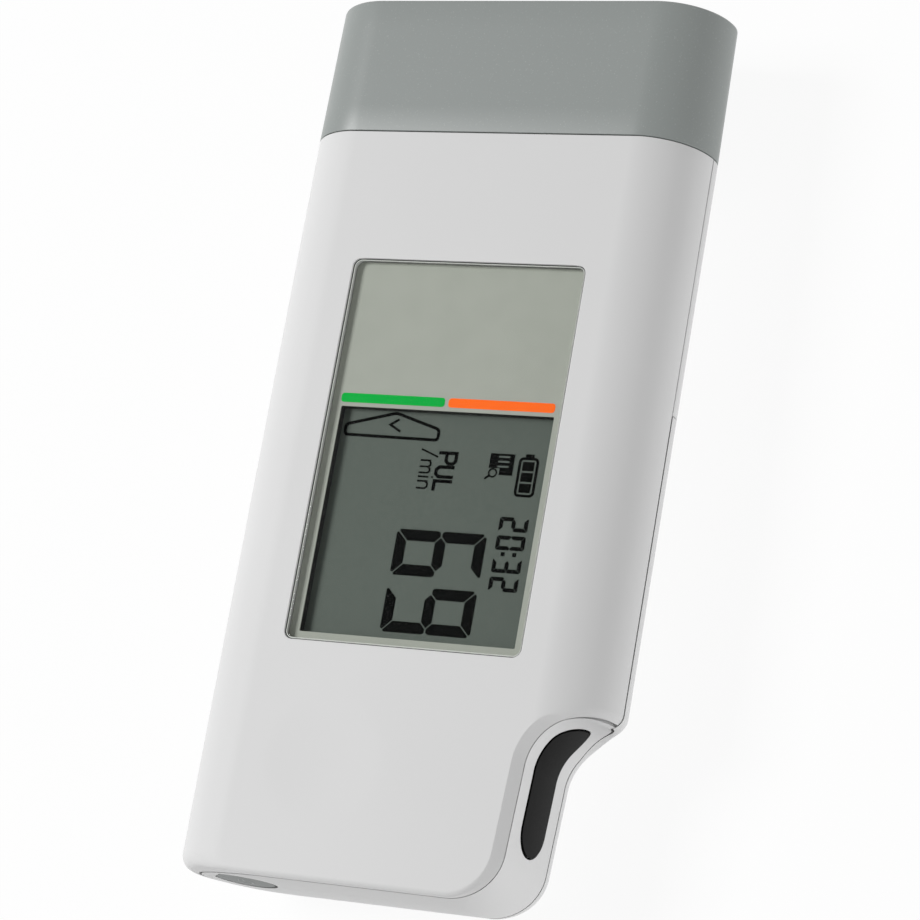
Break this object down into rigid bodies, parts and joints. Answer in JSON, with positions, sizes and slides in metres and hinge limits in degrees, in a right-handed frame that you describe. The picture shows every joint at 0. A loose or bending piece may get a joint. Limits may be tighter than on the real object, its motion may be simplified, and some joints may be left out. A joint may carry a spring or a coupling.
{
  "type": "ecg home monitor",
  "caption": "Hand-held single-lead heart rhythm monitor with display, finger recess and electrode, power button, pull-off end cap over a chest electrode, and slide-off battery cover.",
  "frame": {"origin": "centre of the underside of the whole outline, on the flat back that the monitor lies on", "axes": "+Z out of the display, +Y towards the pull-off cap, +X towards the side with the finger recess"},
  "size_m": [0.0478, 0.1012, 0.0182],
  "materials": {
    "white_housing": "satin moulded",
    "grey_cap": "fine metallic speckle, satin",
    "black_electrode": "matt conductive rubber",
    "grey_button": "satin",
    "clear_window": "clear, polished",
    "printed_mask": "back-printed",
    "display_glass": "reflective liquid crystal",
    "white_spacer": "moulded",
    "connector_rubber": "silicone",
    "green_board": "solder mask",
    "black_chip": "moulded",
    "steel_can": "plain",
    "cell_jacket": "printed sleeve",
    "nickel_steel": "nickel plated",
    "spring_steel": "drawn wire",
    "gold_leaf": "plated"
  },
  "bodies": {
    "housing": {"front_shell": "white_housing", "back_shell": "white_housing", "end_band": "white_housing", "electrode_neck": "white_housing", "finger_electrode": "black_electrode", "chest_electrode": "black_electrode", "finger_leaf": "gold_leaf", "chest_leaf": "gold_leaf", "power_switch": "black_chip", "display_window": "clear_window", "printed_mask": "printed_mask", "display_panel": "display_glass", "display_spacer": "white_spacer", "zebra_connector": "connector_rubber", "main_board": "green_board", "microcontroller": "black_chip", "front_end_chip": "black_chip", "memory_chip": "black_chip", "clock_crystal": "steel_can", "battery_1": "cell_jacket", "battery_2": "cell_jacket", "positive_contact": "nickel_steel", "negative_contact": "nickel_steel", "bridge_contact": "nickel_steel", "contact_spring_1": "spring_steel", "contact_spring_2": "spring_steel", "case_screw_1": "steel_can", "case_screw_2": "steel_can", "case_screw_3": "steel_can", "case_screw_4": "steel_can", "board_screw_1": "steel_can", "board_screw_2": "steel_can"},
    "cap": {"protective_cap": "grey_cap"},
    "button": {"power_button": "grey_button"},
    "cover": {"battery_cover": "white_housing"}
  },
  "joints": [
    {"name": "cap_pull", "type": "slide", "parent": "housing", "child": "cap", "axis": [0, 1, 0], "range_m": [0, 0.02]},
    {"name": "button_press", "type": "slide", "parent": "housing", "child": "button", "axis": [0, 1, 0], "range_m": [0, 0.0005], "stiffness_N_per_m": 1200},
    {"name": "cover_slide", "type": "slide", "parent": "housing", "child": "cover", "axis": [0, -1, 0], "range_m": [0, 0.06]}
  ]
}
